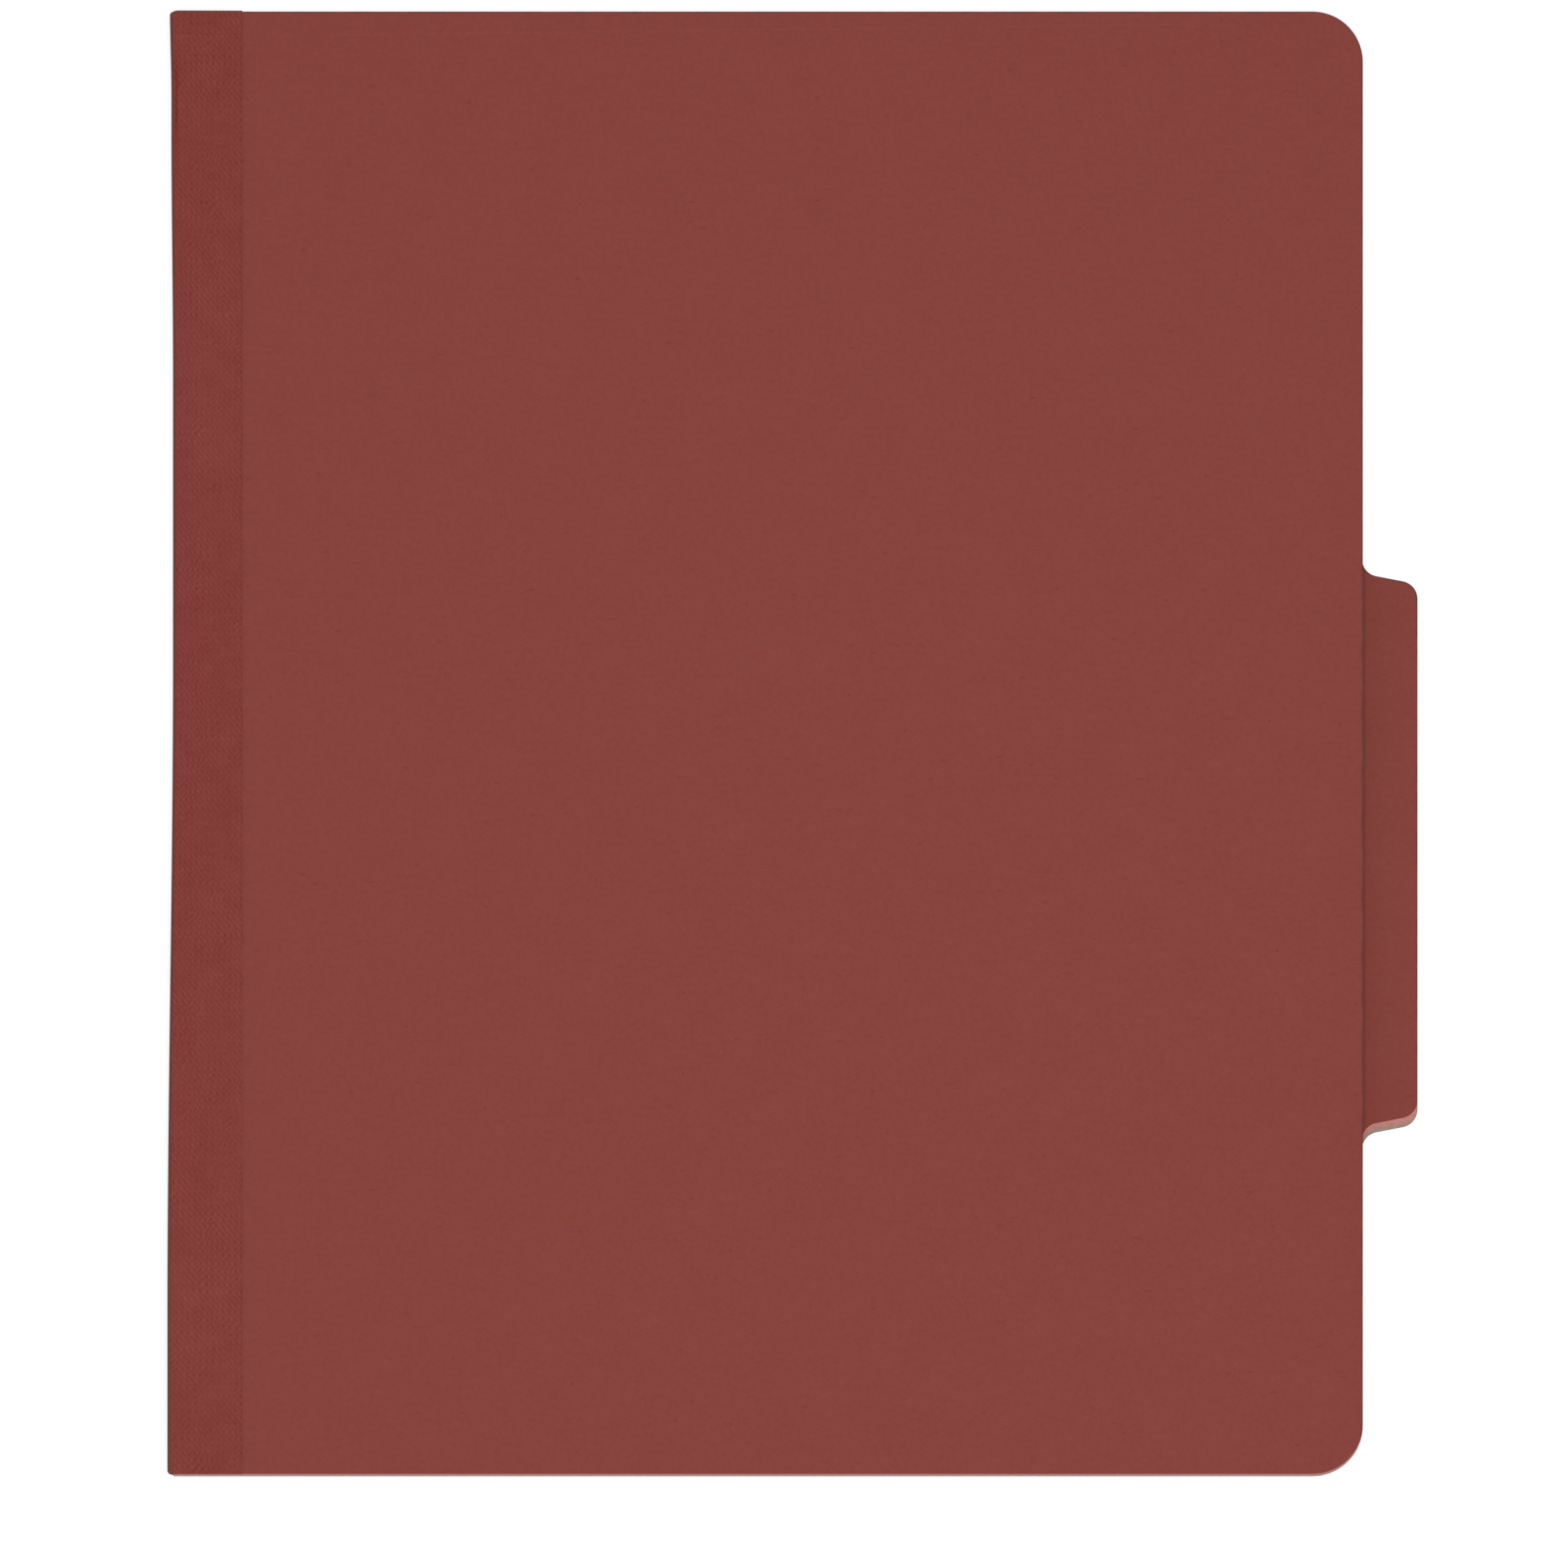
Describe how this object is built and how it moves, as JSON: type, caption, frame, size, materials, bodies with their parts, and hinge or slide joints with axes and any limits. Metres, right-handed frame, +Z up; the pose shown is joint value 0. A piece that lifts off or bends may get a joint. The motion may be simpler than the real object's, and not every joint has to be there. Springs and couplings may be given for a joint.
{
  "type": "classification folder",
  "caption": "Closed brick-red pressboard filing folder with a cloth-taped pleated spine, a side index tab, hinged divider leaves and prong paper fasteners inside.",
  "frame": {"origin": "centre of the underside of the closed folder, lying on its back cover", "axes": "+Z up out of the front cover, +Y to the top edge with the fasteners, +X from the taped spine to the index tab"},
  "size_m": [0.2544, 0.2984, 0.0122],
  "materials": {
    "pressboard": "matt brick-red pressboard with fine fibres and pale cut edges",
    "cloth_tape": "brick-red woven book cloth with a fine diagonal weave",
    "divider_board": "uncoated brown kraft board",
    "patch_paper": "plain off-white reinforcing paper",
    "tinned_steel": "bright tinned steel strip"
  },
  "bodies": {
    "back_cover": {"back_cover": "pressboard", "back_spine_tape": "cloth_tape", "back_spine_fold": "cloth_tape", "back_cover_fastener_base": "tinned_steel", "back_cover_fastener_patch": "patch_paper", "back_cover_compressor_bar": "tinned_steel"},
    "gusset_back": {"gusset_back_panel": "cloth_tape", "gusset_centre_fold": "cloth_tape"},
    "gusset_front": {"gusset_front_panel": "cloth_tape", "front_spine_fold": "cloth_tape"},
    "front_cover": {"front_cover": "pressboard", "front_spine_tape": "cloth_tape", "front_cover_fastener_base": "tinned_steel", "front_cover_fastener_patch": "patch_paper", "front_cover_compressor_bar": "tinned_steel"},
    "divider_2": {"divider_2_leaf": "divider_board", "divider_2_hinge_tape": "cloth_tape", "divider_2_edge_tape": "cloth_tape", "divider_2_front_fastener_base": "tinned_steel", "divider_2_back_fastener_base": "tinned_steel"},
    "divider_1": {"divider_1_leaf": "divider_board", "divider_1_hinge_tape": "cloth_tape", "divider_1_edge_tape": "cloth_tape", "divider_1_front_fastener_base": "tinned_steel", "divider_1_back_fastener_base": "tinned_steel"},
    "front_cover_prong_inner": {"front_cover_prong_inner": "tinned_steel"},
    "front_cover_prong_outer": {"front_cover_prong_outer": "tinned_steel"},
    "divider_1_front_prong_inner": {"divider_1_front_prong_inner": "tinned_steel"},
    "divider_1_front_prong_outer": {"divider_1_front_prong_outer": "tinned_steel"},
    "divider_1_back_prong_inner": {"divider_1_back_prong_inner": "tinned_steel"},
    "divider_1_back_prong_outer": {"divider_1_back_prong_outer": "tinned_steel"},
    "divider_2_front_prong_inner": {"divider_2_front_prong_inner": "tinned_steel"},
    "divider_2_front_prong_outer": {"divider_2_front_prong_outer": "tinned_steel"},
    "divider_2_back_prong_inner": {"divider_2_back_prong_inner": "tinned_steel"},
    "divider_2_back_prong_outer": {"divider_2_back_prong_outer": "tinned_steel"},
    "back_cover_prong_inner": {"back_cover_prong_inner": "tinned_steel"},
    "back_cover_prong_outer": {"back_cover_prong_outer": "tinned_steel"},
    "front_cover_lock_inner": {"front_cover_lock_inner": "tinned_steel"},
    "front_cover_lock_outer": {"front_cover_lock_outer": "tinned_steel"},
    "back_cover_lock_inner": {"back_cover_lock_inner": "tinned_steel"},
    "back_cover_lock_outer": {"back_cover_lock_outer": "tinned_steel"}
  },
  "joints": [
    {"name": "folder_open", "type": "hinge", "parent": "back_cover", "child": "gusset_back", "pos_m": [-0.1269, 0, 0.00154], "axis": [0, -1, 0], "range_deg": [0, 169.6]},
    {"name": "gusset_unfold", "type": "hinge", "parent": "gusset_back", "child": "gusset_front", "pos_m": [-0.10192, 0, 0.00613], "axis": [0, -1, 0], "range_deg": [-159.2, 0]},
    {"name": "cover_turn", "type": "hinge", "parent": "gusset_front", "child": "front_cover", "pos_m": [-0.1269, 0, 0.01071], "axis": [0, -1, 0], "range_deg": [0, 169.6]},
    {"name": "divider_2_turn", "type": "hinge", "parent": "gusset_back", "child": "divider_2", "pos_m": [-0.1101, 0, 0.00417], "axis": [0, -1, 0], "range_deg": [-109.6, 0]},
    {"name": "divider_1_turn", "type": "hinge", "parent": "gusset_front", "child": "divider_1", "pos_m": [-0.1101, 0, 0.00808], "axis": [0, -1, 0], "range_deg": [0, 109.6]},
    {"name": "front_cover_prong_inner_raise", "type": "hinge", "parent": "front_cover", "child": "front_cover_prong_inner", "pos_m": [-0.02693, 0.13023, 0.00931], "axis": [0, 1, 0], "range_deg": [0, 90]},
    {"name": "front_cover_prong_outer_raise", "type": "hinge", "parent": "front_cover", "child": "front_cover_prong_outer", "pos_m": [0.04292, 0.13023, 0.00931], "axis": [0, -1, 0], "range_deg": [0, 90]},
    {"name": "divider_1_front_prong_inner_raise", "type": "hinge", "parent": "divider_1", "child": "divider_1_front_prong_inner", "pos_m": [-0.02693, 0.13023, 0.00821], "axis": [0, -1, 0], "range_deg": [0, 90]},
    {"name": "divider_1_front_prong_outer_raise", "type": "hinge", "parent": "divider_1", "child": "divider_1_front_prong_outer", "pos_m": [0.04292, 0.13023, 0.00821], "axis": [0, 1, 0], "range_deg": [0, 90]},
    {"name": "divider_1_back_prong_inner_raise", "type": "hinge", "parent": "divider_1", "child": "divider_1_back_prong_inner", "pos_m": [-0.02693, 0.13023, 0.00645], "axis": [0, 1, 0], "range_deg": [0, 90]},
    {"name": "divider_1_back_prong_outer_raise", "type": "hinge", "parent": "divider_1", "child": "divider_1_back_prong_outer", "pos_m": [0.04292, 0.13023, 0.00645], "axis": [0, -1, 0], "range_deg": [0, 90]},
    {"name": "divider_2_front_prong_inner_raise", "type": "hinge", "parent": "divider_2", "child": "divider_2_front_prong_inner", "pos_m": [-0.02693, 0.13023, 0.0058], "axis": [0, -1, 0], "range_deg": [0, 90]},
    {"name": "divider_2_front_prong_outer_raise", "type": "hinge", "parent": "divider_2", "child": "divider_2_front_prong_outer", "pos_m": [0.04292, 0.13023, 0.0058], "axis": [0, 1, 0], "range_deg": [0, 90]},
    {"name": "divider_2_back_prong_inner_raise", "type": "hinge", "parent": "divider_2", "child": "divider_2_back_prong_inner", "pos_m": [-0.02693, 0.13023, 0.00404], "axis": [0, 1, 0], "range_deg": [0, 90]},
    {"name": "divider_2_back_prong_outer_raise", "type": "hinge", "parent": "divider_2", "child": "divider_2_back_prong_outer", "pos_m": [0.04292, 0.13023, 0.00404], "axis": [0, -1, 0], "range_deg": [0, 90]},
    {"name": "back_cover_prong_inner_raise", "type": "hinge", "parent": "back_cover", "child": "back_cover_prong_inner", "pos_m": [-0.02693, 0.13023, 0.00294], "axis": [0, -1, 0], "range_deg": [0, 90]},
    {"name": "back_cover_prong_outer_raise", "type": "hinge", "parent": "back_cover", "child": "back_cover_prong_outer", "pos_m": [0.04292, 0.13023, 0.00294], "axis": [0, 1, 0], "range_deg": [0, 90]},
    {"name": "front_cover_lock_inner_slide", "type": "slide", "parent": "front_cover", "child": "front_cover_lock_inner", "axis": [-1, 0, 0], "range_m": [0, 0.015]},
    {"name": "front_cover_lock_outer_slide", "type": "slide", "parent": "front_cover", "child": "front_cover_lock_outer", "axis": [1, 0, 0], "range_m": [0, 0.015]},
    {"name": "back_cover_lock_inner_slide", "type": "slide", "parent": "back_cover", "child": "back_cover_lock_inner", "axis": [-1, 0, 0], "range_m": [0, 0.015]},
    {"name": "back_cover_lock_outer_slide", "type": "slide", "parent": "back_cover", "child": "back_cover_lock_outer", "axis": [1, 0, 0], "range_m": [0, 0.015]}
  ],
  "couplings": [
    {"joint": "gusset_unfold", "follows": "folder_open", "ratio": -0.93868},
    {"joint": "cover_turn", "follows": "folder_open", "ratio": 1},
    {"joint": "divider_2_turn", "follows": "folder_open", "ratio": -0.64623},
    {"joint": "divider_1_turn", "follows": "folder_open", "ratio": 0.64623},
    {"joint": "front_cover_prong_inner_raise", "follows": "folder_open", "ratio": 0.53066},
    {"joint": "front_cover_prong_outer_raise", "follows": "folder_open", "ratio": 0.53066},
    {"joint": "divider_1_front_prong_inner_raise", "follows": "folder_open", "ratio": 0.53066},
    {"joint": "divider_1_front_prong_outer_raise", "follows": "folder_open", "ratio": 0.53066},
    {"joint": "divider_1_back_prong_inner_raise", "follows": "folder_open", "ratio": 0.53066},
    {"joint": "divider_1_back_prong_outer_raise", "follows": "folder_open", "ratio": 0.53066},
    {"joint": "divider_2_front_prong_inner_raise", "follows": "folder_open", "ratio": 0.53066},
    {"joint": "divider_2_front_prong_outer_raise", "follows": "folder_open", "ratio": 0.53066},
    {"joint": "divider_2_back_prong_inner_raise", "follows": "folder_open", "ratio": 0.53066},
    {"joint": "divider_2_back_prong_outer_raise", "follows": "folder_open", "ratio": 0.53066},
    {"joint": "back_cover_prong_inner_raise", "follows": "folder_open", "ratio": 0.53066},
    {"joint": "back_cover_prong_outer_raise", "follows": "folder_open", "ratio": 0.53066}
  ]
}
